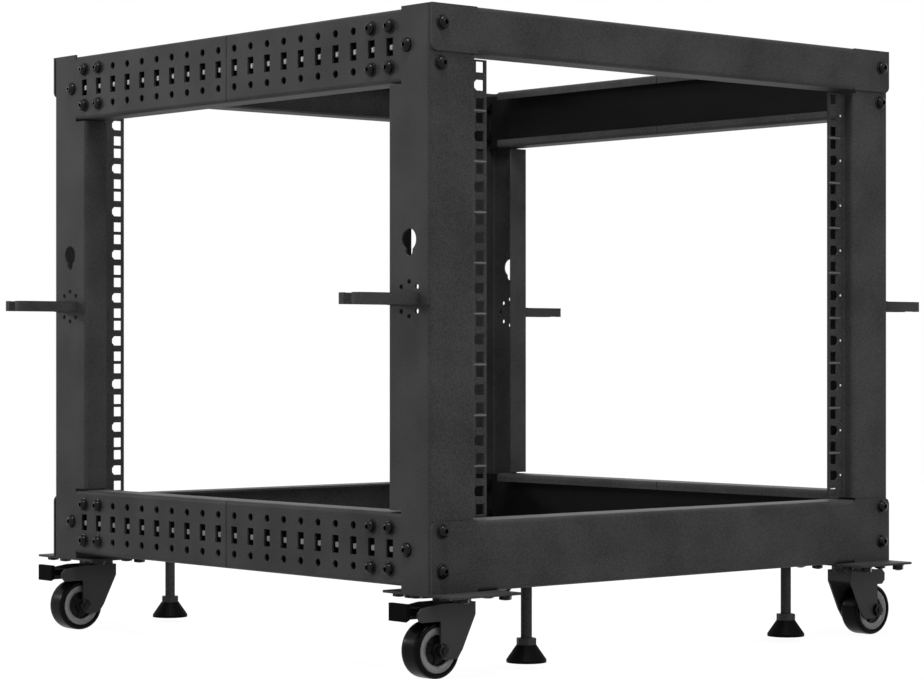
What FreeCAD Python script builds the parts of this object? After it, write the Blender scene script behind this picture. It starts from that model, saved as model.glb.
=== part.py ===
"""Four post open frame rack, 9 units high, on swivel casters with levelling feet.

Frame: +X to the right, +Y to the rear, +Z up, millimetres.
Origin: on the floor, under the middle of the frame.
"""
import FreeCAD
import Part
import math
import os

V = FreeCAD.Vector

# ---- Overall frame ----
FRAME_WIDTH = 600.0
FRAME_DEPTH = 592.0
RIDE_HEIGHT = 74.0          # floor to the underside of the frame
SHEET = 2.0                 # steel sheet of posts, beams and rails
BEND = 1.5                  # inner radius of the bends
BEND_FACES = 3              # flats that make up each bend

# ---- 19 inch mounting strips ----
UNIT = 44.45
UNIT_COUNT = 9
UNIT_HOLE_OFFSETS = (6.35, 22.225, 38.1)
STRIP_WIDTH = 23.0
STRIP_HOLE_INSET = 7.55     # hole column from the inner edge of the strip
SQUARE_HOLE = 9.5
LOBE_SHIFT = 2.2            # lobe beside every middle square hole
STRIP_BOTTOM_GAP = 2.0
STRIP_TOP_GAP = 2.95

# ---- Posts ----
POST_WEB = 57.0             # side wall, front to rear
POST_FACE = 52.0            # plain front or rear face
POST_LIP = 25.0             # inner return lip of the side wall
STRIP_SETBACK = 12.0        # strip behind the outer face of the post
NOTCH_GAP = 1.5             # clearance round the rails' notches

# ---- Keyhole and hole circle in the side wall ----
KEYHOLE_RADIUS = 9.5
KEYHOLE_SLOT = 9.5
KEYHOLE_RISE = 51.6         # keyhole centre above the middle of the post
KEYHOLE_DROP = 14.6         # from the keyhole centre to the end of its slot
CIRCLE_HOLE_RADIUS = 2.4
HOLE_CIRCLE_RADIUS = 15.0
CIRCLE_HOLE_COUNT = 8

# ---- Beams across the front and rear ----
TOP_BEAM = 41.0
BOTTOM_BEAM = 62.0
BEAM_FLANGE = 30.0
BEAM_CORNER = 6.0           # rounded corner toward the middle of the rack

# ---- Perforated side rails, each in two halves ----
RAIL_HEIGHT = 64.0
RAIL_FLANGE = 30.0
RAIL_LIP = 9.0
RAIL_START = 39.0           # rail begins this far from the front face
RAIL_BOTTOM_RISE = 5.0      # lower rail above the underside of the frame
RAIL_TOP_DROP = 2.0         # upper rail below the top of the frame
RAIL_SEAM = 1.0
HOLE_PITCH = 25.4
ROUND_HOLE_RADIUS = 3.75
ROUND_HOLE_SIDES = 8
ROUND_HOLE_ROW = 18.0       # round holes above and below the rail's middle
SLOT_WIDTH = 9.0
SLOT_HEIGHT = 16.0

# ---- Plain inner rails that join the posts ----
INNER_RAIL_TAB = 24.0
INNER_RAIL_DEPTH = 6.0      # web behind the rails' walls

# ---- Cable rings ----
RING_REACH = 68.0
RING_WIDTH = 30.0           # between the middle lines of the two arms
RING_HEIGHT = 10.0
RING_STRAP = 2.0
RING_BEND = 4.0
RING_FOOT = 12.0
RING_MOUTH = 11.0           # finger gap in the outer side

# ---- Caster plates ----
PLATE_WIDTH = 78.0
PLATE_LENGTH = 100.0
PLATE_OVERHANG = 33.0       # beyond the front or rear face
PLATE_CORNER = 4.0
RACE_RADIUS = 17.0
RACE_HEIGHT = 6.1
KINGPIN_RADIUS = 5.0
KINGPIN_NUT_RADIUS = 8.0    # to the corners of the hexagon
KINGPIN_NUT = 2.5
PIN_CLEARANCE = 0.05        # running clearance round every pin
ROUND_SIDES = 36            # sides of the wheels, races and foot pads
HUB_SIDES = 18

# ---- Caster forks and wheels ----
CASTER_TRAIL = 24.4         # wheel axle outward of the swivel axis
SWIVEL_GAP = 0.4
WHEEL_CLEARANCE = 6.5       # wheel below the brake pedal's arm
WHEEL_WIDTH = 23.0
TREAD_SHOULDER = 2.5
TYRE_THICKNESS = 5.0
WELL_DEPTH = 1.5            # wheel's faces sunk inside the rim
HUB_RADIUS = 7.0
HUB_WIDTH = 26.0
AXLE_RADIUS = 3.0
FORK_SIDE_GAP = 0.5         # hub to fork
FORK_ARM = 15.0             # height of the fork's arm over the wheel
FORK_NOSE = 38.4            # leading top corner ahead of the axle
FORK_TAIL = 27.0            # trailing end of a braked fork behind the axle
FORK_TAIL_SLOPE = 3.0       # fall of its top edge toward the tail
PLAIN_FORK_TAIL = 12.0      # trailing end of a fork without a brake
FORK_CORNER = 4.0           # cut corners of the tail
FORK_NOSE_DROP = 11.0       # wall across the nose
FORK_THROAT = 1.0           # rear edge of the fork's foot behind the axle
PEDAL_WINDOW = 10.0         # open crown over the pedal's arm, ahead of the axle
FORK_FOOT = 8.0             # fork below the axle
FORK_FOOT_WIDTH = 23.5

# ---- Brake pedals on the left casters ----
PEDAL_WIDTH = 24.0
PEDAL_HEIGHT = 15.5
PEDAL_RISE = 1.5             # pedal block above the fork's crown
PEDAL_TIP = 37.0            # tip of the pedal behind the axle
PEDAL_CHAMFER = 2.0
PEDAL_HINGE = 3.0           # hinge pin behind the axle
PEDAL_HINGE_DROP = 6.5      # hinge pin below the fork's crown
PEDAL_ARM_WIDTH = 17.0
PEDAL_ARM_HEIGHT = 6.0
PEDAL_ARM_OVERLAP = 1.0     # arm run into the pedal block
PEDAL_KNUCKLE_RADIUS = 3.5
PEDAL_PIN_RADIUS = 1.5
PEDAL_TAIL_GAP = 6.2        # pedal block clear of the fork's tail

# ---- Levelling feet ----
FOOT_INSET_X = 129.0        # foot axis from the side of the frame
FOOT_INSET_Y = 19.5         # foot axis from the front or rear face
FOOT_CLEARANCE = 5.5        # foot above the floor when the rack rolls
STEM_RADIUS = 5.0
STEM_ABOVE = 24.0           # stem above the beam's lower flange
PAD_RADIUS = 18.0
PAD_TOP_RADIUS = 9.0
PAD_HEIGHT = 15.5
PAD_EDGE = 2.5
NUT_ACROSS_FLATS = 16.0
NUT_HEIGHT = 6.0

# ---- Derived ----
HALF_WIDTH = FRAME_WIDTH / 2
HALF_DEPTH = FRAME_DEPTH / 2
STRIP_HEIGHT = UNIT * UNIT_COUNT
STRIP_CLEAR = FRAME_WIDTH - 2 * (POST_FACE + STRIP_WIDTH)
STRIP_HOLE_SPAN = STRIP_CLEAR + 2 * STRIP_HOLE_INSET
FRAME_HEIGHT = BOTTOM_BEAM + STRIP_BOTTOM_GAP + STRIP_HEIGHT + STRIP_TOP_GAP + TOP_BEAM
FRAME_BOTTOM = RIDE_HEIGHT
FRAME_TOP = RIDE_HEIGHT + FRAME_HEIGHT
STRIP_BOTTOM = FRAME_BOTTOM + BOTTOM_BEAM + STRIP_BOTTOM_GAP
POST_MIDDLE = FRAME_BOTTOM + FRAME_HEIGHT / 2
LOWER_RAIL_Z = FRAME_BOTTOM + RAIL_BOTTOM_RISE
UPPER_RAIL_Z = FRAME_TOP - RAIL_TOP_DROP - RAIL_HEIGHT
SWIVEL_X = -HALF_WIDTH + PLATE_WIDTH / 2
SWIVEL_Y = -HALF_DEPTH - PLATE_OVERHANG + PLATE_LENGTH / 2
AXLE_X = SWIVEL_X - CASTER_TRAIL
RACE_BOTTOM = FRAME_BOTTOM - SHEET - RACE_HEIGHT
FORK_TOP = RACE_BOTTOM - SWIVEL_GAP
PEDAL_HINGE_Z = FORK_TOP - PEDAL_HINGE_DROP
PEDAL_ARM_TOP = PEDAL_HINGE_Z + PEDAL_KNUCKLE_RADIUS
WHEEL_RADIUS = (PEDAL_ARM_TOP - PEDAL_ARM_HEIGHT - WHEEL_CLEARANCE) / 2
RIM_RADIUS = WHEEL_RADIUS - TYRE_THICKNESS
FORK_INNER = HUB_WIDTH / 2 + FORK_SIDE_GAP
INNER_RAIL_HEIGHT = RAIL_HEIGHT - 2 * SHEET
HOLE_COLUMNS = int((HALF_DEPTH - RAIL_START) / HOLE_PITCH)

UP = V(0, 0, 1)
ALONG_X = V(1, 0, 0)
ALONG_Y = V(0, 1, 0)


def left_normal(direction):
    return V(-direction.y, direction.x, 0)


def sheet_profile(points, thickness, bend):
    """Face of a bent sheet whose middle line runs through the points."""
    nodes = [V(x, y, 0) for x, y in points]
    ways = [(end - start).normalize() for start, end in zip(nodes, nodes[1:])]
    sides = {1: [], -1: []}
    for side, line in sides.items():
        line.append(nodes[0] + left_normal(ways[0]) * (side * thickness / 2))
    for corner, way_in, way_out in zip(nodes[1:], ways, ways[1:]):
        turn = 1 if left_normal(way_in).dot(way_out) > 0 else -1
        angle = math.degrees(way_in.getAngle(way_out))
        middle_radius = bend + thickness / 2
        tangent = middle_radius * math.tan(math.radians(angle) / 2)
        outward = left_normal(way_in) * -turn
        centre = corner - way_in * tangent - outward * middle_radius
        for step in range(BEND_FACES + 1):
            turned_by = FreeCAD.Rotation(UP, turn * angle * step / BEND_FACES)
            spoke = turned_by.multVec(outward)
            for side, line in sides.items():
                line.append(centre + spoke * (middle_radius - side * turn * thickness / 2))
    for side, line in sides.items():
        line.append(nodes[-1] + left_normal(ways[-1]) * (side * thickness / 2))
    outline = sides[1] + sides[-1][::-1]
    return Part.Face(Part.makePolygon(outline + outline[:1]))


def bent_along_z(points, bottom, top):
    face = sheet_profile(points, SHEET, BEND)
    face.translate(V(0, 0, bottom))
    return face.extrude(V(0, 0, top - bottom))


def box(x0, x1, y0, y1, z0, z1):
    return Part.makeBox(x1 - x0, y1 - y0, z1 - z0, V(x0, y0, z0))


def round_cut(radius, x, y, z, axis, length):
    """Cylinder of the given length centred on the point."""
    return Part.makeCylinder(radius, length, V(x, y, z) - axis * (length / 2), axis)


def punched_hole(radius, x, y, z, length):
    """Small many-sided hole along X, flat side up, of the given mean radius."""
    corners = []
    for index in range(ROUND_HOLE_SIDES + 1):
        angle = 2 * math.pi * (index + 0.5) / ROUND_HOLE_SIDES
        corners.append(V(x - length / 2, y + radius * math.cos(angle), z + radius * math.sin(angle)))
    return Part.Face(Part.makePolygon(corners)).extrude(ALONG_X * length)


def many_sided(radius, height, sides, base, top_radius=None):
    """Regular prism, or a taper to the top radius, standing on the base point."""
    rings = []
    for ring_radius, rise in ((radius, 0), (top_radius or radius, height)):
        angles = [2 * math.pi * (index % sides) / sides for index in range(sides + 1)]
        rings.append([base + V(ring_radius * math.cos(a), ring_radius * math.sin(a), rise)
                      for a in angles])
    low, high = rings
    loops = [low, high] + [[a, b, c, d, a] for a, b, c, d in zip(low, low[1:], high[1:], high)]
    shell = Part.makeShell([Part.Face(Part.makePolygon(loop)) for loop in loops])
    return Part.makeSolid(shell)


def plate_in_xz(points, y0, y1):
    """Flat plate with its outline in the XZ plane."""
    corners = [V(x, y0, z) for x, z in points]
    return Part.Face(Part.makePolygon(corners + corners[:1])).extrude(V(0, y1 - y0, 0))


def to_corner(shape, right, rear):
    """Copy a front left piece to another corner of the rack."""
    if right:
        shape = shape.mirror(V(0, 0, 0), ALONG_X)
    if rear:
        shape = shape.mirror(V(0, 0, 0), ALONG_Y)
    return shape


def strip_holes():
    """Square holes of one strip, three to a unit, the middle one with a lobe."""
    column = -STRIP_HOLE_SPAN / 2
    y = -HALF_DEPTH + STRIP_SETBACK
    half = SQUARE_HOLE / 2
    cutters = []
    for unit in range(UNIT_COUNT):
        for offset in UNIT_HOLE_OFFSETS:
            z = STRIP_BOTTOM + unit * UNIT + offset
            hole = box(column - half, column + half, y - SHEET, y + 2 * SHEET, z - half, z + half)
            if offset == UNIT_HOLE_OFFSETS[1]:
                end = column - half - LOBE_SHIFT
                lobe = [(column, z - half), (column, z + half), (end + half * 0.55, z + half),
                        (end, z + half * 0.45), (end, z - half * 0.45), (end + half * 0.55, z - half)]
                hole = hole.fuse(plate_in_xz(lobe, y - SHEET, y + 2 * SHEET)).removeSplitter()
            cutters.append(hole)
    return cutters


def wall_holes():
    """Keyhole and circle of small holes through the side wall of the post."""
    y = -HALF_DEPTH + POST_WEB / 2
    x = -HALF_WIDTH
    depth = 4 * SHEET
    key_z = POST_MIDDLE + KEYHOLE_RISE
    half = KEYHOLE_SLOT / 2
    slot_end = key_z - KEYHOLE_DROP + half
    keyhole = round_cut(KEYHOLE_RADIUS, x, y, key_z, ALONG_X, depth)
    slot = box(x - depth / 2, x + depth / 2, y - half, y + half, slot_end, key_z)
    slot_tip = round_cut(half, x, y, slot_end, ALONG_X, depth)
    cutters = [keyhole.fuse([slot, slot_tip])]
    for index in range(CIRCLE_HOLE_COUNT):
        angle = 2 * math.pi * index / CIRCLE_HOLE_COUNT
        hole_y = y + HOLE_CIRCLE_RADIUS * math.cos(angle)
        hole_z = POST_MIDDLE + HOLE_CIRCLE_RADIUS * math.sin(angle)
        cutters.append(round_cut(CIRCLE_HOLE_RADIUS, x, hole_y, hole_z, ALONG_X, depth))
    return cutters


def post():
    """Front left post: one bent sheet with a set-back strip of square holes."""
    x0 = -HALF_WIDTH
    y0 = -HALF_DEPTH
    half = SHEET / 2
    strip_y = y0 + STRIP_SETBACK + half
    path = [
        (x0 + POST_LIP, y0 + POST_WEB - half),
        (x0 + half, y0 + POST_WEB - half),
        (x0 + half, y0 + half),
        (x0 + POST_FACE - half, y0 + half),
        (x0 + POST_FACE - half, strip_y),
        (x0 + POST_FACE + STRIP_WIDTH, strip_y),
    ]
    body = bent_along_z(path, FRAME_BOTTOM, FRAME_TOP)
    trim_x = x0 + POST_FACE - SHEET - BEND
    strip_end = -STRIP_CLEAR / 2 + SHEET
    strip_back = strip_y + 2 * SHEET
    strip_top = STRIP_BOTTOM + STRIP_HEIGHT
    cutters = [
        box(trim_x, strip_end, y0 - SHEET, strip_back, FRAME_BOTTOM - SHEET, STRIP_BOTTOM),
        box(trim_x, strip_end, y0 - SHEET, strip_back, strip_top, FRAME_TOP + SHEET),
    ]
    lower_notch = (FRAME_BOTTOM - SHEET, LOWER_RAIL_Z + RAIL_HEIGHT + NOTCH_GAP)
    upper_notch = (UPPER_RAIL_Z - NOTCH_GAP, FRAME_TOP + SHEET)
    for z0, z1 in (lower_notch, upper_notch):
        cutters.append(box(x0 - SHEET, x0 + POST_LIP + SHEET,
                           y0 + RAIL_START, y0 + POST_WEB + SHEET, z0, z1))
    return body.cut(cutters + strip_holes() + wall_holes())


def beam(height, loose_z, base):
    """Front beam: channel between the posts and a plate over their front faces."""
    half = SHEET / 2
    face_y = -HALF_DEPTH - half
    plate = box(-HALF_WIDTH, HALF_WIDTH, -HALF_DEPTH - SHEET, -HALF_DEPTH, base, base + height)
    corners = [edge for edge in plate.Edges
               if abs(edge.BoundBox.YLength - SHEET) < 0.01
               and abs(edge.CenterOfMass.z - base - loose_z) < 0.01]
    plate = plate.makeFillet(BEAM_CORNER, corners)
    span = HALF_WIDTH - POST_FACE
    plate = plate.cut(box(-span, span, -HALF_DEPTH - 2 * SHEET, -HALF_DEPTH + SHEET,
                          base - SHEET, base + height + SHEET))
    flange_end = -HALF_DEPTH - SHEET + BEAM_FLANGE
    section = [
        (flange_end, half), (face_y, half),
        (face_y, height - half), (flange_end, height - half),
    ]
    channel = sheet_profile(section, SHEET, BEND)
    channel.rotate(V(0, 0, 0), V(1, 1, 1), 120)
    channel.translate(V(-span, 0, base))
    channel = channel.extrude(V(2 * span, 0, 0))
    return plate.fuse(channel).removeSplitter()


def foot_holes():
    """Holes for the two levelling feet in the lower flange of the front beam."""
    x = HALF_WIDTH - FOOT_INSET_X
    y = -HALF_DEPTH + FOOT_INSET_Y
    radius = STEM_RADIUS + PIN_CLEARANCE
    return [round_cut(radius, side * x, y, FRAME_BOTTOM, UP, 6 * SHEET)
            for side in (-1, 1)]


def rail_half(z0):
    """Front half of a left rail: lipped channel with three rows of holes."""
    half = SHEET / 2
    x0 = -HALF_WIDTH
    section = [
        (RAIL_FLANGE - half, RAIL_LIP), (RAIL_FLANGE - half, half), (half, half),
        (half, RAIL_HEIGHT - half), (RAIL_FLANGE - half, RAIL_HEIGHT - half),
        (RAIL_FLANGE - half, RAIL_HEIGHT - RAIL_LIP),
    ]
    face = sheet_profile(section, SHEET, BEND)
    face.rotate(V(0, 0, 0), ALONG_X, 90)
    start = -HALF_DEPTH + RAIL_START
    face.translate(V(x0, start, z0))
    body = face.extrude(V(0, -RAIL_SEAM / 2 - start, 0))
    middle = z0 + RAIL_HEIGHT / 2
    depth = 4 * SHEET
    cutters = []
    for column in range(HOLE_COLUMNS):
        y = -(column + 0.5) * HOLE_PITCH
        cutters.append(box(x0 - SHEET, x0 + 2 * SHEET, y - SLOT_WIDTH / 2, y + SLOT_WIDTH / 2,
                           middle - SLOT_HEIGHT / 2, middle + SLOT_HEIGHT / 2))
        for row in (-ROUND_HOLE_ROW, ROUND_HOLE_ROW):
            cutters.append(punched_hole(ROUND_HOLE_RADIUS, x0, y, middle + row, depth))
    return body.cut(cutters)


def inner_rail(z0):
    """Left inner rail, nested between the rails' flanges, with tabs on the posts' faces."""
    half = SHEET / 2
    x0 = -HALF_WIDTH + SHEET + INNER_RAIL_DEPTH
    end = HALF_DEPTH - SHEET - half
    path = [
        (x0 + INNER_RAIL_TAB, -end), (x0 + half, -end),
        (x0 + half, end), (x0 + INNER_RAIL_TAB, end),
    ]
    bottom = z0 + (RAIL_HEIGHT - INNER_RAIL_HEIGHT) / 2
    return bent_along_z(path, bottom, bottom + INNER_RAIL_HEIGHT)


def cable_ring():
    """Strap ring on the front left post with a finger gap in its outer side."""
    y = -HALF_DEPTH + POST_WEB / 2
    half = RING_STRAP / 2
    x = -HALF_WIDTH - half
    arm = RING_WIDTH / 2
    outer = -HALF_WIDTH - RING_REACH + half
    bottom = POST_MIDDLE - RING_HEIGHT / 2
    pieces = [box(x - half, x + half, y - arm - RING_FOOT, y + arm + RING_FOOT,
                  bottom, bottom + RING_HEIGHT)]
    for side in (-1, 1):
        path = [(x, y + side * arm), (outer, y + side * arm), (outer, y + side * RING_MOUTH / 2)]
        face = sheet_profile(path, RING_STRAP, RING_BEND)
        face.translate(V(0, 0, bottom))
        pieces.append(face.extrude(V(0, 0, RING_HEIGHT)))
    return pieces[0].fuse(pieces[1:]).removeSplitter()


def caster_plate():
    """Plate under the corner with its bearing race, kingpin and nut."""
    y0 = -HALF_DEPTH - PLATE_OVERHANG
    plate = box(-HALF_WIDTH, -HALF_WIDTH + PLATE_WIDTH, y0, y0 + PLATE_LENGTH,
                FRAME_BOTTOM - SHEET, FRAME_BOTTOM)
    corners = [edge for edge in plate.Edges if abs(edge.BoundBox.ZLength - SHEET) < 0.01]
    plate = plate.makeFillet(PLATE_CORNER, corners)
    race = many_sided(RACE_RADIUS, RACE_HEIGHT, ROUND_SIDES, V(SWIVEL_X, SWIVEL_Y, RACE_BOTTOM))
    pin_end = FORK_TOP - SHEET - SWIVEL_GAP
    pin = Part.makeCylinder(KINGPIN_RADIUS, RACE_BOTTOM - pin_end, V(SWIVEL_X, SWIVEL_Y, pin_end))
    nut = many_sided(KINGPIN_NUT_RADIUS, KINGPIN_NUT, 6,
                     V(SWIVEL_X, SWIVEL_Y, pin_end - KINGPIN_NUT))
    return plate.fuse([race, pin, nut]).removeSplitter()


def caster_fork(braked):
    """Pressed fork with its axle and, when braked, the pedal's hinge pin."""
    crown_end = SWIVEL_X + FORK_NOSE - CASTER_TRAIL
    tail = AXLE_X - (FORK_TAIL if braked else PLAIN_FORK_TAIL)
    outer = FORK_INNER + SHEET
    arm_bottom = FORK_TOP - FORK_ARM
    throat = AXLE_X - FORK_THROAT
    slope_end = FORK_TOP - (FORK_TAIL_SLOPE if braked else 0)
    outline = [
        (throat, WHEEL_RADIUS - FORK_FOOT / 2), (throat, arm_bottom),
        (tail + FORK_CORNER, arm_bottom), (tail, arm_bottom + FORK_CORNER),
        (tail, slope_end - FORK_CORNER), (tail + FORK_CORNER, slope_end),
        (throat, FORK_TOP), (crown_end, FORK_TOP),
        (crown_end, FORK_TOP - FORK_NOSE_DROP), (AXLE_X + FORK_FOOT_WIDTH, WHEEL_RADIUS),
        (AXLE_X + FORK_FOOT_WIDTH * 0.75, WHEEL_RADIUS - FORK_FOOT),
        (AXLE_X + FORK_FOOT_WIDTH * 0.1, WHEEL_RADIUS - FORK_FOOT),
    ]
    crown_start = AXLE_X + PEDAL_WINDOW if braked else throat
    crown = box(crown_start, crown_end, SWIVEL_Y - outer, SWIVEL_Y + outer,
                FORK_TOP - SHEET, FORK_TOP)
    pieces = [
        many_sided(RACE_RADIUS, SHEET, ROUND_SIDES, V(SWIVEL_X, SWIVEL_Y, FORK_TOP - SHEET)),
        box(crown_end - SHEET, crown_end, SWIVEL_Y - outer, SWIVEL_Y + outer,
            FORK_TOP - FORK_NOSE_DROP, FORK_TOP),
        plate_in_xz(outline, SWIVEL_Y - outer, SWIVEL_Y - FORK_INNER),
        plate_in_xz(outline, SWIVEL_Y + FORK_INNER, SWIVEL_Y + outer),
        round_cut(AXLE_RADIUS, AXLE_X, SWIVEL_Y, WHEEL_RADIUS, ALONG_Y, 2 * outer),
    ]
    if braked:
        pieces.append(round_cut(PEDAL_PIN_RADIUS, AXLE_X - PEDAL_HINGE, SWIVEL_Y,
                                PEDAL_HINGE_Z, ALONG_Y, 2 * outer))
    bore = round_cut(KINGPIN_RADIUS + PIN_CLEARANCE, SWIVEL_X, SWIVEL_Y, FORK_TOP,
                     UP, 6 * SHEET)
    return crown.fuse(pieces).cut(bore).removeSplitter()


def brake_pedal():
    """Pedal block behind the fork, on an arm hinged between the fork's sides."""
    top = FORK_TOP + PEDAL_RISE
    tip = AXLE_X - PEDAL_TIP
    block_end = AXLE_X - FORK_TAIL - PEDAL_TAIL_GAP
    block = plate_in_xz(
        [(tip, top - PEDAL_HEIGHT), (tip, top), (block_end, top),
         (block_end, top - PEDAL_HEIGHT + PEDAL_CHAMFER)],
        SWIVEL_Y - PEDAL_WIDTH / 2, SWIVEL_Y + PEDAL_WIDTH / 2)
    hinge_x = AXLE_X - PEDAL_HINGE
    arm = box(block_end - PEDAL_ARM_OVERLAP, hinge_x, SWIVEL_Y - PEDAL_ARM_WIDTH / 2,
              SWIVEL_Y + PEDAL_ARM_WIDTH / 2, PEDAL_ARM_TOP - PEDAL_ARM_HEIGHT, PEDAL_ARM_TOP)
    knuckle = round_cut(PEDAL_KNUCKLE_RADIUS, hinge_x, SWIVEL_Y, PEDAL_HINGE_Z, ALONG_Y,
                        PEDAL_ARM_WIDTH)
    bore = round_cut(PEDAL_PIN_RADIUS + PIN_CLEARANCE, hinge_x, SWIVEL_Y, PEDAL_HINGE_Z,
                     ALONG_Y, 2 * PEDAL_WIDTH)
    return block.fuse([arm, knuckle]).cut(bore).removeSplitter()


def caster_wheel():
    """Wheel with bevelled tyre, sunk faces and a bored hub."""
    half = WHEEL_WIDTH / 2
    rim = WHEEL_RADIUS - TREAD_SHOULDER
    tread = half - TREAD_SHOULDER
    wheel = many_sided(WHEEL_RADIUS, 2 * tread, ROUND_SIDES, V(0, 0, -tread))
    wheel = wheel.fuse([
        many_sided(WHEEL_RADIUS, TREAD_SHOULDER, ROUND_SIDES, V(0, 0, tread), rim),
        many_sided(rim, TREAD_SHOULDER, ROUND_SIDES, V(0, 0, -half), WHEEL_RADIUS),
    ])
    wheel = wheel.cut([
        many_sided(RIM_RADIUS, WELL_DEPTH, ROUND_SIDES, V(0, 0, half - WELL_DEPTH)),
        many_sided(RIM_RADIUS, WELL_DEPTH, ROUND_SIDES, V(0, 0, -half)),
    ])
    wheel = wheel.fuse(many_sided(HUB_RADIUS, HUB_WIDTH, HUB_SIDES, V(0, 0, -HUB_WIDTH / 2)))
    wheel = wheel.cut(round_cut(AXLE_RADIUS + PIN_CLEARANCE, 0, 0, 0, UP, 2 * HUB_WIDTH))
    wheel = wheel.removeSplitter()
    wheel.rotate(V(0, 0, 0), ALONG_X, 90)
    wheel.translate(V(AXLE_X, SWIVEL_Y, WHEEL_RADIUS))
    return wheel


def levelling_foot():
    """Threaded stem, hexagon nut and conical pad."""
    x = -HALF_WIDTH + FOOT_INSET_X
    y = -HALF_DEPTH + FOOT_INSET_Y
    pad_top = FOOT_CLEARANCE + PAD_HEIGHT
    stem_top = FRAME_BOTTOM + SHEET + STEM_ABOVE
    edge = many_sided(PAD_RADIUS, PAD_EDGE, ROUND_SIDES, V(x, y, FOOT_CLEARANCE))
    cone = many_sided(PAD_RADIUS, PAD_HEIGHT - PAD_EDGE, ROUND_SIDES,
                      V(x, y, FOOT_CLEARANCE + PAD_EDGE), PAD_TOP_RADIUS)
    stem = Part.makeCylinder(STEM_RADIUS, stem_top - pad_top, V(x, y, pad_top))
    nut = many_sided(NUT_ACROSS_FLATS / math.sqrt(3), NUT_HEIGHT, 6, V(x, y, pad_top))
    return edge.fuse([cone, stem, nut]).removeSplitter()


def save(name, shape):
    shape.exportStep("parts/" + name + ".step")


def main():
    os.makedirs("parts", exist_ok=True)
    corner_pieces = {
        "post": post(),
        "cable_ring": cable_ring(),
        "caster_plate": caster_plate(),
        "caster_wheel": caster_wheel(),
        "levelling_foot": levelling_foot(),
        "lower_rail": rail_half(LOWER_RAIL_Z),
        "upper_rail": rail_half(UPPER_RAIL_Z),
    }
    for side, right in (("left", False), ("right", True)):
        for end, rear in (("front", False), ("rear", True)):
            for name, shape in corner_pieces.items():
                save(f"{name}_{end}_{side}", to_corner(shape, right, rear))
            fork = caster_fork(braked=not right)
            save(f"caster_fork_{end}_{side}", to_corner(fork, right, rear))
            if not right:
                save(f"brake_pedal_{end}_{side}", to_corner(brake_pedal(), right, rear))
        save(f"lower_inner_rail_{side}", to_corner(inner_rail(LOWER_RAIL_Z), right, False))
        save(f"upper_inner_rail_{side}", to_corner(inner_rail(UPPER_RAIL_Z), right, False))
    bottom_beam = beam(BOTTOM_BEAM, BOTTOM_BEAM, FRAME_BOTTOM).cut(foot_holes())
    top_beam = beam(TOP_BEAM, 0, FRAME_TOP - TOP_BEAM)
    for end, rear in (("front", False), ("rear", True)):
        save(f"bottom_beam_{end}", to_corner(bottom_beam, False, rear))
        save(f"top_beam_{end}", to_corner(top_beam, False, rear))


main()
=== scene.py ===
import math

import bmesh
import bpy
from mathutils import Matrix, Vector

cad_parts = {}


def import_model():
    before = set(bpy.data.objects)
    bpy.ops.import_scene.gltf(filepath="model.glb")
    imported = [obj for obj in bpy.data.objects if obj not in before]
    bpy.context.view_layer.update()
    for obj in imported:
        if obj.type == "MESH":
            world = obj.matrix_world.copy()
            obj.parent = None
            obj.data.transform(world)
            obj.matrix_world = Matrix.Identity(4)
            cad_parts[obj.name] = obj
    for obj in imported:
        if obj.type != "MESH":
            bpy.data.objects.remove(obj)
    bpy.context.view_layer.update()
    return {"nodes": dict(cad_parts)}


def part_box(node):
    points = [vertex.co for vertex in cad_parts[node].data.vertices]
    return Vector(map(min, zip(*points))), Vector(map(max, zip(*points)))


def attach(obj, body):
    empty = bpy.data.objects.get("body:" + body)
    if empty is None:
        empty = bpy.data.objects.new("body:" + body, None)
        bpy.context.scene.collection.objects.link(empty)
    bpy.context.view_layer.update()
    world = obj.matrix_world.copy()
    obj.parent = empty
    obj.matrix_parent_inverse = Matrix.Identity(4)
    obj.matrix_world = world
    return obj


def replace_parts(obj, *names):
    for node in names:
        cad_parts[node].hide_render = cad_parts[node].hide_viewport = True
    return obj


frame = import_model()

MM = 0.001
# Side (-1 left, 1 right) and end (-1 front, 1 rear) of every corner.
CORNERS = {
    "front_left": (-1, -1),
    "front_right": (1, -1),
    "rear_left": (-1, 1),
    "rear_right": (1, 1),
}
post_low, post_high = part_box("post_front_left")
HALF_WIDTH = -post_low.x
HALF_DEPTH = -post_low.y
BASE = post_low.z
SHEET = 2 * MM
UNIT = 44.45 * MM
UNIT_COUNT = 9
STRIP_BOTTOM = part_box("bottom_beam_front")[1].z + 2 * MM
STRIP_FACE = 12 * MM        # strip behind the outer face of the post
HOLE_PITCH = 25.4 * MM
HOLE_COLUMNS = 20           # along both halves of a side rail
BOLT_INSET = 12 * MM        # bolts of the beams, from the side of the frame
# Height of those bolts above the frame's underside, and the sheet that they stand on.
BEAM_BOLTS = ((19.7, SHEET), (54.3, SHEET), (491.3, SHEET), (456.7, 0))
RAIL_BOLT_COLUMNS = (8.5, 9.5)
RAIL_BOLT_ROW = 18 * MM
WALL_SCREW_INSET = 31.4 * MM
WALL_SCREW_HEIGHTS = (37, 474)
PLATE_NUTS_ACROSS = (-24, 24)
PLATE_NUTS_ALONG = (-43, -20, 20, 43)
MARK_OUTER = 57.5 * MM      # printed lines, and dots of painted light, from the side of the frame
MARK_INNER = 74.6 * MM
MARK_HALF = 0.65 * MM
FILM = 0.06 * MM
FORK_SIDE = 2.5 * MM        # fork's sheet and its gap to the hub
STEM_TOP_OF_PAD = 21 * MM
STEM_THREAD_START = 27 * MM
THREAD_PITCH = 1.5 * MM


# ---- Materials ----

def new_material(name):
    material = bpy.data.materials.new(name)
    material.use_nodes = True
    tree = material.node_tree
    return material, tree, tree.nodes["Principled BSDF"]


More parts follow.
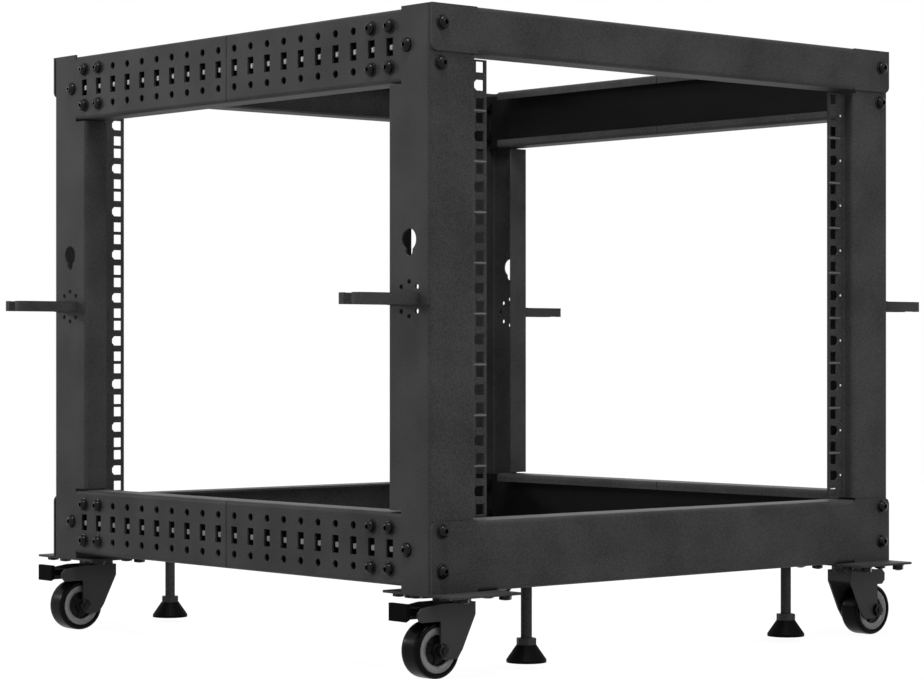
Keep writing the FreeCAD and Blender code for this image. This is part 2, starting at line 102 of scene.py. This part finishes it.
def noise(tree, scale, detail=2.0, roughness=0.5):
    place = tree.nodes.new("ShaderNodeTexCoord")
    texture = tree.nodes.new("ShaderNodeTexNoise")
    texture.inputs["Scale"].default_value = scale
    texture.inputs["Detail"].default_value = detail
    texture.inputs["Roughness"].default_value = roughness
    tree.links.new(place.outputs["Object"], texture.inputs["Vector"])
    return texture.outputs["Fac"]


def ramp(tree, value, stops):
    node = tree.nodes.new("ShaderNodeValToRGB")
    elements = node.color_ramp.elements
    while len(elements) < len(stops):
        elements.new(0.5)
    for element, (position, colour) in zip(elements, stops):
        element.position = position
        element.color = (*colour, 1.0)
    tree.links.new(value, node.inputs["Fac"])
    return node.outputs["Color"]


def bump(tree, shader, height, distance, strength):
    node = tree.nodes.new("ShaderNodeBump")
    node.inputs["Strength"].default_value = strength
    node.inputs["Distance"].default_value = distance
    tree.links.new(height, node.inputs["Height"])
    tree.links.new(node.outputs["Normal"], shader.inputs["Normal"])


def grained(name, dark, light, rough_low, rough_high, grain, height, strength, metallic=0.0,
            specular=0.5):
    """Coated or moulded surface with a fine grain and slight cloudiness."""
    material, tree, shader = new_material(name)
    fine = noise(tree, grain, 3.0, 0.6)
    cloud = noise(tree, grain * 0.02, 3.0, 0.5)
    blend = tree.nodes.new("ShaderNodeMath")
    blend.operation = "MULTIPLY_ADD"
    blend.inputs[1].default_value = 0.65
    scaled = tree.nodes.new("ShaderNodeMath")
    scaled.operation = "MULTIPLY"
    scaled.inputs[1].default_value = 0.35
    tree.links.new(cloud, scaled.inputs[0])
    tree.links.new(fine, blend.inputs[0])
    tree.links.new(scaled.outputs[0], blend.inputs[2])
    colour = ramp(tree, blend.outputs[0], [(0.38, dark), (0.62, light)])
    tree.links.new(colour, shader.inputs["Base Color"])
    rough = ramp(tree, fine, [(0.35, (rough_low,) * 3), (0.65, (rough_high,) * 3)])
    tree.links.new(rough, shader.inputs["Roughness"])
    shader.inputs["Metallic"].default_value = metallic
    shader.inputs["Specular IOR Level"].default_value = specular
    bump(tree, shader, fine, height, strength)
    return material


def grey(value):
    return (value, value, value * 1.02)


COAT = grained("coat_black", grey(0.016), grey(0.048), 0.50, 0.64, 850.0, 0.15 * MM, 0.35,
               specular=0.13)
# Darker coat for the inner rails: painted shade for the narrow cavity behind the slots, darker than
# the frame's coat.
INNER_PAINTED_SHADE = grained("coat_inner_painted_shade", grey(0.0045), grey(0.0090), 0.60, 0.75, 1100.0, 0.1 * MM, 0.25,
                     specular=0.08)
FORK_COAT = grained("coat_caster", grey(0.021), grey(0.037), 0.46, 0.58, 900.0, 0.1 * MM, 0.25,
                    specular=0.18)
BOLT_STEEL = grained("bolt_black", grey(0.0030), grey(0.0070), 0.18, 0.26, 1500.0, 0.03 * MM,
                     0.15, specular=0.13)
# Light grey for the slot tongues: a painted highlight where they catch the light.
TONGUE_PAINTED_HIGHLIGHT = grained("tongue_painted_highlight", grey(0.095), grey(0.15), 0.28, 0.38, 1500.0, 0.03 * MM,
                       0.15)
TYRE = grained("tyre_rubber", grey(0.0012), grey(0.0026), 0.24, 0.32, 700.0, 0.03 * MM, 0.15,
               specular=0.05)
WHEEL_RING = grained("wheel_ring", grey(0.13), grey(0.17), 0.25, 0.35, 500.0, 0.03 * MM, 0.15)
# Wheel core: dark plastic of its own, made darker still as painted shade in the recessed hub.
WHEEL_CORE_WITH_SHADE = grained("wheel_core", grey(0.0045), grey(0.0090), 0.40, 0.52, 600.0, 0.05 * MM, 0.2,
                     specular=0.12)
PEDAL = grained("pedal_plastic", grey(0.0014), grey(0.0030), 0.44, 0.58, 900.0, 0.08 * MM, 0.3,
                specular=0.015)
PRINT = grained("print_grey", grey(0.085), grey(0.12), 0.50, 0.60, 900.0, 0.02 * MM, 0.1)
# White dots: painted light standing for the bright backdrop seen through the strip's holes.
PAINTED_LIGHT_DOT = grained("painted_light_white", grey(0.75), grey(0.85), 0.50, 0.60, 900.0, 0.02 * MM, 0.1)


def foot_material():
    """Coated stem with a thread above a black moulded pad."""
    material, tree, shader = new_material("foot_black")
    place = tree.nodes.new("ShaderNodeTexCoord")
    split = tree.nodes.new("ShaderNodeSeparateXYZ")
    tree.links.new(place.outputs["Object"], split.inputs[0])

    def above(height):
        node = tree.nodes.new("ShaderNodeMath")
        node.operation = "GREATER_THAN"
        node.inputs[1].default_value = height
        tree.links.new(split.outputs["Z"], node.inputs[0])
        return node.outputs[0]

    turns = tree.nodes.new("ShaderNodeMath")
    turns.operation = "MULTIPLY"
    turns.inputs[1].default_value = 2 * math.pi / THREAD_PITCH
    tree.links.new(split.outputs["Z"], turns.inputs[0])
    wave = tree.nodes.new("ShaderNodeMath")
    wave.operation = "SINE"
    tree.links.new(turns.outputs[0], wave.inputs[0])
    thread = tree.nodes.new("ShaderNodeMath")
    thread.operation = "MULTIPLY"
    tree.links.new(wave.outputs[0], thread.inputs[0])
    tree.links.new(above(STEM_THREAD_START), thread.inputs[1])
    bump(tree, shader, thread.outputs[0], 0.4 * MM, 0.6)
    fine = noise(tree, 800.0)
    pad = ramp(tree, fine, [(0.35, grey(0.0014)), (0.65, grey(0.0036))])
    steel = ramp(tree, fine, [(0.35, grey(0.032)), (0.65, grey(0.056))])
    both = tree.nodes.new("ShaderNodeMix")
    both.data_type = "RGBA"
    tree.links.new(above(STEM_TOP_OF_PAD), both.inputs["Factor"])
    colour_a, colour_b, mixed = both.inputs[6], both.inputs[7], both.outputs[2]
    tree.links.new(pad, colour_a)
    tree.links.new(steel, colour_b)
    tree.links.new(mixed, shader.inputs["Base Color"])
    rough = ramp(tree, fine, [(0.35, grey(0.40)), (0.65, grey(0.54))])
    tree.links.new(rough, shader.inputs["Roughness"])
    shader.inputs["Specular IOR Level"].default_value = 0.025
    return material


FOOT = foot_material()


# ---- Mesh building ----

class Piece:
    """One mesh made of turned and flat forms, riding on a CAD body."""

    def __init__(self, name, body, material, slot):
        self.bm = bmesh.new()
        self.name = name
        self.body = body
        self.material = material
        self.slot = slot

    def turned(self, profile, matrix, segments=36):
        """Form turned about local Z.

        Profile items are (radius, height), or (half across flats, height, True) for a hexagon.
        """
        rings = []
        for radius, height, *hexagon in profile:
            if radius == 0:
                rings.append([self.bm.verts.new(matrix @ Vector((0, 0, height)))])
                continue
            ring = []
            for step in range(segments):
                angle = 2 * math.pi * step / segments
                reach = radius
                if hexagon:
                    reach = radius / math.cos(angle % (math.pi / 3) - math.pi / 6)
                point = Vector((reach * math.cos(angle), reach * math.sin(angle), height))
                ring.append(self.bm.verts.new(matrix @ point))
            rings.append(ring)
        for low, high in zip(rings, rings[1:]):
            for step in range(segments):
                after = (step + 1) % segments
                corners = [low[step % len(low)], low[after % len(low)],
                           high[after % len(high)], high[step % len(high)]]
                unique = list(dict.fromkeys(corners))
                if len(unique) > 2:
                    self.bm.faces.new(unique)
        return self

    def block(self, low, high):
        corners = [Vector((x, y, z)) for x in (low[0], high[0]) for y in (low[1], high[1])
                   for z in (low[2], high[2])]
        verts = [self.bm.verts.new(corner) for corner in corners]
        for loop in ((0, 1, 3, 2), (4, 6, 7, 5), (0, 4, 5, 1), (2, 3, 7, 6), (0, 2, 6, 4),
                     (1, 5, 7, 3)):
            self.bm.faces.new([verts[index] for index in loop])
        return self

    def prism(self, outline, along, length):
        """Solid between an outline and its copy moved along a direction."""
        near = [self.bm.verts.new(point) for point in outline]
        far = [self.bm.verts.new(point + along * length) for point in outline]
        self.bm.faces.new(near)
        self.bm.faces.new(list(reversed(far)))
        count = len(outline)
        for index in range(count):
            after = (index + 1) % count
            self.bm.faces.new([near[index], near[after], far[after], far[index]])
        return self

    def done(self, bevel=0.0, sharp=35):
        bmesh.ops.recalc_face_normals(self.bm, faces=self.bm.faces)
        mesh = bpy.data.meshes.new(self.name)
        self.bm.to_mesh(mesh)
        self.bm.free()
        for face in mesh.polygons:
            face.use_smooth = True
        mesh.set_sharp_from_angle(angle=math.radians(sharp))
        obj = bpy.data.objects.new(self.name, mesh)
        bpy.context.scene.collection.objects.link(obj)
        mesh.materials.append(self.material)
        if bevel:
            modifier = obj.modifiers.new("edges", "BEVEL")
            modifier.width = bevel
            modifier.segments = 2
            modifier.limit_method = "ANGLE"
        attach(obj, self.body)
        return obj


def facing(point, direction):
    """Placement whose local Z looks along the direction."""
    turn = Vector((0, 0, 1)).rotation_difference(Vector(direction)).to_matrix().to_4x4()
    return Matrix.Translation(Vector(point)) @ turn


def scaled(profile, unit=MM):
    return [(item[0] * unit, item[1] * unit, *item[2:]) for item in profile]


# Flanged domed head with a hexagon socket, standing on its sheet.
PAN_HEAD = scaled([
    (0, -0.2), (6.8, -0.2), (6.8, 0.5), (6.4, 0.9), (5.7, 1.1), (5.6, 2.3), (5.2, 3.6), (4.4, 4.6),
    (3.3, 5.3), (2.3, 5.6), (1.9, 5.6, True), (1.8, 3.4, True), (0, 3.2),
])
# Hexagon nut on a washer with the end of its screw.
HEX_NUT = scaled([
    (0, -0.1), (5.6, -0.1), (5.6, 0.7), (4.9, 0.75), (4.9, 0.8, True), (4.9, 3.0, True), (4.4, 3.4),
    (2.9, 3.4), (2.9, 3.5), (2.5, 3.5), (0, 3.5),
])
# Taller nuts under the caster plates, shorter where a brake pedal sweeps below them.
TALL_NUT = scaled([
    (0, -0.1), (5.8, -0.1), (5.8, 0.9), (4.9, 1.0), (4.9, 1.1, True), (4.9, 4.8, True), (4.4, 5.2),
    (2.9, 5.2), (2.9, 5.5), (2.5, 5.8), (0, 5.8),
])
LOW_NUT = scaled([
    (0, -0.1), (5.8, -0.1), (5.8, 0.8), (4.9, 0.85), (4.9, 0.9, True), (4.9, 3.6, True), (4.4, 4.0),
    (2.9, 4.0), (2.9, 4.2), (2.5, 4.3), (0, 4.3),
])
DOME_HEAD = scaled([
    (0, -0.1), (6.3, -0.1), (6.3, 0.6), (6.0, 1.8), (5.1, 3.1), (3.8, 4.0), (2.2, 4.5),
    (1.8, 4.5, True), (1.6, 2.6, True), (0, 2.5),
])
DOT_DISC = scaled([(0, 0), (1.1, 0), (1.1, 0.06), (0, 0.06)])
# Section of a slot's tongue: depth behind the rail's face, and distance from its root.
TONGUE = ((1.9, -0.1), (-0.25, -0.1), (-0.45, 1.2), (-0.40, 2.6), (0.0, 4.2), (0.7, 5.6),
          (1.8, 5.9), (2.1, 4.4))
TONGUE_ROOT = 4.6 * MM
TONGUE_DROP = 3.0 * MM      # its lower edge below the middle of the slot
TONGUE_HEIGHT = 4.8 * MM


# ---- Rack body: fasteners, print, and dots and tongues with painted light ----

def beam_bolts():
    """Bolts through the ends of the beams, with their nuts inside the posts."""
    piece = Piece("beam_bolts", "rack", BOLT_STEEL, "frame_black")
    for side, end in CORNERS.values():
        x = side * (HALF_WIDTH - BOLT_INSET)
        for rise, sheet in BEAM_BOLTS:
            z = BASE + rise * MM
            outer = (x, end * (HALF_DEPTH + sheet), z)
            piece.turned(PAN_HEAD, facing(outer, (0, end, 0)))
            inner = (x, end * (HALF_DEPTH - 2 * SHEET), z)
            piece.turned(HEX_NUT, facing(inner, (0, -end, 0)))
    return piece.done()


def rail_middles():
    """Heights of the middle lines of the lower and the upper side rails."""
    for level in ("lower", "upper"):
        low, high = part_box(f"{level}_rail_front_left")
        yield (low.z + high.z) / 2


def rail_bolts():
    """Four bolts with nuts at each end of every side rail."""
    piece = Piece("rail_bolts", "rack", BOLT_STEEL, "frame_black")
    for middle in rail_middles():
        for side, end in CORNERS.values():
            for column in RAIL_BOLT_COLUMNS:
                for row in (-RAIL_BOLT_ROW, RAIL_BOLT_ROW):
                    y, z = end * column * HOLE_PITCH, middle + row
                    piece.turned(PAN_HEAD, facing((side * HALF_WIDTH, y, z), (side, 0, 0)))
                    inner = (side * (HALF_WIDTH - 2 * SHEET), y, z)
                    piece.turned(HEX_NUT, facing(inner, (-side, 0, 0)))
    return piece.done()


def wall_screws():
    """Two low domed screws in the side wall of every post."""
    piece = Piece("wall_screws", "rack", BOLT_STEEL, "frame_black")
    for side, end in CORNERS.values():
        for rise in WALL_SCREW_HEIGHTS:
            point = (side * HALF_WIDTH, end * (HALF_DEPTH - WALL_SCREW_INSET), BASE + rise * MM)
            piece.turned(DOME_HEAD, facing(point, (side, 0, 0)))
    return piece.done()


def plate_nuts():
    """Eight nuts under every caster plate."""
    piece = Piece("plate_nuts", "rack", BOLT_STEEL, "frame_black")
    for corner in CORNERS:
        low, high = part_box(f"caster_plate_{corner}")
        x, y = (low.x + high.x) / 2, (low.y + high.y) / 2
        profile = LOW_NUT if f"brake_pedal_{corner}" in frame["nodes"] else TALL_NUT
        for across in PLATE_NUTS_ACROSS:
            for along in PLATE_NUTS_ALONG:
                point = (x + across * MM, y + along * MM, BASE - SHEET)
                piece.turned(profile, facing(point, (0, 0, -1)))
    return piece.done()


def unit_marks():
    """Printed lines between the units on the front and rear strips."""
    piece = Piece("unit_marks", "rack", PRINT, "frame_black")
    for side, end in CORNERS.values():
        plane = end * (HALF_DEPTH - STRIP_FACE)
        x0, x1 = sorted((side * (HALF_WIDTH - MARK_OUTER), side * (HALF_WIDTH - MARK_INNER)))
        y0, y1 = sorted((plane, plane + end * FILM))
        for unit in range(1, UNIT_COUNT):
            z = STRIP_BOTTOM + unit * UNIT
            piece.block((x0, y0, z - MARK_HALF), (x1, y1, z + MARK_HALF))
    return piece.done()


def painted_light_dots():
    """White dot beside the middle hole of every unit: painted light that stands for the bright
    backdrop seen through the hole.
    """
    piece = Piece("painted_light_dots", "rack", PAINTED_LIGHT_DOT, "frame_black")
    for side, end in CORNERS.values():
        for unit in range(UNIT_COUNT):
            point = (side * (HALF_WIDTH - MARK_OUTER), end * (HALF_DEPTH - STRIP_FACE),
                     STRIP_BOTTOM + (unit + 0.5) * UNIT)
            piece.turned(DOT_DISC, facing(point, (0, end, 0)), 16)
    return piece.done()


def slot_tongues():
    """Small bulged tongue in every middle slot of the side rails, coloured light grey as a painted
    highlight.
    """
    piece = Piece("slot_tongues", "rack", TONGUE_PAINTED_HIGHLIGHT, "frame_black")
    for middle in rail_middles():
        for side in (-1, 1):
            for column in range(HOLE_COLUMNS):
                root = (column - (HOLE_COLUMNS - 1) / 2) * HOLE_PITCH - TONGUE_ROOT
                outline = [Vector((side * (HALF_WIDTH - depth * MM), root + along * MM,
                                   middle - TONGUE_DROP))
                           for depth, along in TONGUE]
                piece.prism(outline, Vector((0, 0, 1)), TONGUE_HEIGHT)
    return piece.done(bevel=0.9 * MM)


# ---- Casters ----

# Half sections of the wheel: radius, and height from its middle plane.
TYRE_PROFILE = [
    (20.2, 8.5), (20.4, 10.4), (20.9, 11.1), (21.8, 11.4), (23.0, 11.2), (24.0, 10.5), (24.6, 9.5),
    (24.9, 8.2), (24.95, 5.0), (24.95, 0.0),
]
RING_PROFILE = [
    (13.4, 8.0), (13.6, 9.4), (14.2, 10.0), (15.6, 10.5), (17.4, 10.8), (19.0, 10.8), (19.9, 10.4),
    (20.3, 9.8), (20.3, 8.5),
]
CORE_PROFILE = [
    (3.1, 12.9), (5.6, 12.9), (6.4, 12.6), (6.7, 11.9), (6.8, 8.4), (7.4, 7.8), (12.0, 7.6),
    (12.9, 8.2), (13.2, 9.3), (13.7, 9.4), (13.9, 7.8),
]


AXLE_NUT = scaled([
    (0, 0), (6.4, 0), (6.4, 0.7), (5.5, 0.8, True), (5.5, 3.4, True), (4.8, 4.0), (3.0, 4.0),
    (3.0, 5.0), (2.6, 5.3), (0, 5.3),
])
RIB_COUNT = 6
RIB_TURN = 0.3              # first rib's angle in radians
RIB_START = 6.5 * MM
RIB_END = 13.2 * MM
RIB_HALF = 0.7 * MM
RIB_FOOT = 7.5 * MM         # from the wheel's middle plane
RIB_HEIGHT = 1.5 * MM


def closed(profile):
    """Full section in metres: the half section, its mirror image and the first point again."""
    section = profile + [(radius, -height) for radius, height in reversed(profile)]
    return scaled(section + section[:1])


def caster_wheel(corner):
    """Tyre, bright ring and ribbed core, which stand for the plain wheel."""
    low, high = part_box(f"caster_wheel_{corner}")
    centre = (low + high) / 2
    place = facing(centre, (0, 1, 0))
    body = f"wheel_{corner}"
    tyre = Piece(f"tyre_{corner}", body, TYRE, "wheel_tyre")
    tyre.turned(closed(TYRE_PROFILE), place, 96)
    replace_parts(tyre.done(), f"caster_wheel_{corner}")
    ring = Piece(f"wheel_ring_{corner}", body, WHEEL_RING, "wheel_tyre")
    # the core's colour holds painted shade for the recessed hub
    core = Piece(f"wheel_core_{corner}", body, WHEEL_CORE_WITH_SHADE, "wheel_tyre")
    core.turned(closed(CORE_PROFILE), place, 72)
    for sign in (1, -1):
        profile = [(radius, height * sign) for radius, height in RING_PROFILE]
        ring.turned(scaled(profile), place, 96)
        base = centre + Vector((0, sign * RIB_FOOT, 0))
        for rib in range(RIB_COUNT):
            angle = 2 * math.pi * rib / RIB_COUNT + RIB_TURN
            out = Vector((math.cos(angle), 0, math.sin(angle)))
            across = Vector((-math.sin(angle), 0, math.cos(angle))) * RIB_HALF
            near, far = base + out * RIB_START, base + out * RIB_END
            outline = [near - across, far - across, far + across, near + across]
            core.prism(outline, Vector((0, sign, 0)), RIB_HEIGHT)
    ring.done()
    core.done()


def axle_nuts(corner):
    """Hexagon nut and bolt head on the ends of the axle."""
    low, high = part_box(f"caster_wheel_{corner}")
    centre = (low + high) / 2
    reach = (high.y - low.y) / 2 + FORK_SIDE
    piece = Piece(f"axle_nuts_{corner}", f"swivel_{corner}", BOLT_STEEL, "caster_steel")
    for sign in (-1, 1):
        point = (centre.x, centre.y + sign * reach, centre.z)
        piece.turned(AXLE_NUT, facing(point, (0, sign, 0)))
    piece.done()


beam_bolts()
rail_bolts()
wall_screws()
plate_nuts()
unit_marks()
painted_light_dots()
slot_tongues()
for corner in CORNERS:
    caster_wheel(corner)
    axle_nuts(corner)


# ---- Materials of the CAD nodes that show ----

for name, node in frame["nodes"].items():
    if name.startswith("caster_fork"):
        chosen = FORK_COAT
    elif "inner_rail" in name:
        # inner rails take the painted-shade coat
        chosen = INNER_PAINTED_SHADE
    elif name.startswith("levelling_foot"):
        chosen = FOOT
    elif name.startswith("brake_pedal"):
        chosen = PEDAL
    else:
        chosen = COAT
    node.data.materials.clear()
    node.data.materials.append(chosen)


# ---- Stage, light and camera ----

def background_rays(tree):
    """One for the rays that see the white background: camera, glossy and transmission rays."""
    path = tree.nodes.new("ShaderNodeLightPath")
    total = None
    for ray in ("Is Camera Ray", "Is Glossy Ray", "Is Transmission Ray"):
        if total is None:
            total = path.outputs[ray]
            continue
        adding = tree.nodes.new("ShaderNodeMath")
        adding.operation = "MAXIMUM"
        tree.links.new(total, adding.inputs[0])
        tree.links.new(path.outputs[ray], adding.inputs[1])
        total = adding.outputs[0]
    return total


def by_distance(tree, near, far):
    """Value that runs from near to far between 1.2 m and 3.5 m from the middle of the floor."""
    place = tree.nodes.new("ShaderNodeTexCoord")
    length = tree.nodes.new("ShaderNodeVectorMath")
    length.operation = "LENGTH"
    tree.links.new(place.outputs["Object"], length.inputs[0])
    spread = tree.nodes.new("ShaderNodeMapRange")
    for name, value in (("From Min", 1.2), ("From Max", 3.5), ("To Min", near), ("To Max", far)):
        spread.inputs[name].default_value = value
    tree.links.new(length.outputs["Value"], spread.inputs["Value"])
    return spread.outputs["Result"]


def floor():
    """Pale floor that reads as white and keeps a faint shadow."""
    material, tree, shader = new_material("floor_pale")
    glow = tree.nodes.new("ShaderNodeEmission")
    glow.inputs["Color"].default_value = (1, 1, 1, 1)
    tree.links.new(by_distance(tree, 1.16, 1.0), glow.inputs["Strength"])
    shader.inputs["Base Color"].default_value = (0.55, 0.55, 0.56, 1)
    shader.inputs["Roughness"].default_value = 0.9
    shader.inputs["Specular IOR Level"].default_value = 0.1
    share = tree.nodes.new("ShaderNodeMath")
    share.operation = "MULTIPLY"
    tree.links.new(background_rays(tree), share.inputs[0])
    tree.links.new(by_distance(tree, 0.82, 1.0), share.inputs[1])
    shade = tree.nodes.new("ShaderNodeMixShader")
    tree.links.new(share.outputs[0], shade.inputs[0])
    tree.links.new(shader.outputs[0], shade.inputs[1])
    tree.links.new(glow.outputs[0], shade.inputs[2])
    tree.links.new(shade.outputs[0], tree.nodes["Material Output"].inputs["Surface"])
    bpy.ops.mesh.primitive_plane_add(size=24, location=(0, 0, 0))
    plane = bpy.context.object
    plane.name = "floor"
    plane.data.materials.append(material)


def world():
    scene_world = bpy.data.worlds.new("studio")
    bpy.context.scene.world = scene_world
    scene_world.use_nodes = True
    tree = scene_world.node_tree
    background = tree.nodes["Background"]
    background.inputs["Color"].default_value = (1, 1, 1, 1)
    strength = tree.nodes.new("ShaderNodeMix")
    strength.inputs["A"].default_value = 0.22
    strength.inputs["B"].default_value = 1.0
    tree.links.new(background_rays(tree), strength.inputs["Factor"])
    tree.links.new(strength.outputs["Result"], background.inputs["Strength"])


def lamp(name, place, target, size, power):
    data = bpy.data.lights.new(name, "AREA")
    data.shape = "SQUARE"
    data.size = size
    data.energy = power
    obj = bpy.data.objects.new(name, data)
    obj.location = place
    aim = Vector(target) - Vector(place)
    obj.rotation_euler = aim.to_track_quat("-Z", "Y").to_euler()
    bpy.context.scene.collection.objects.link(obj)


def camera():
    data = bpy.data.cameras.new("camera")
    data.lens = 106.2
    data.sensor_width = 36
    data.shift_y = 0.013
    data.clip_end = 100
    obj = bpy.data.objects.new("camera", data)
    obj.location = (-1.810, -2.0753, 0.2826)
    look = Vector((0.6559, 0.7549, 0))
    obj.rotation_euler = look.to_track_quat("-Z", "Y").to_euler()
    bpy.context.scene.collection.objects.link(obj)
    bpy.context.scene.camera = obj


floor()
world()
lamp("top", (-0.9, -0.9, 3.0), (0, 0, 0.3), 1.2, 80)
lamp("key", (-2.8, -0.6, 1.8), (0, 0, 0.3), 1.6, 4)
lamp("glint", (-2.3, 0.5, 2.2), (0, 0, 0.3), 0.2, 8)
lamp("side", (-1.5, 1.9, 0.8), (-0.3, 0, 0.2), 0.22, 8.5)
lamp("front", (0.6, -3.0, 1.6), (0, 0, 0.3), 1.8, 26)
lamp("rim", (2.2, 2.2, 2.6), (0, 0, 0.3), 1.5, 26)
camera()
bpy.context.scene.view_settings.view_transform = "Standard"
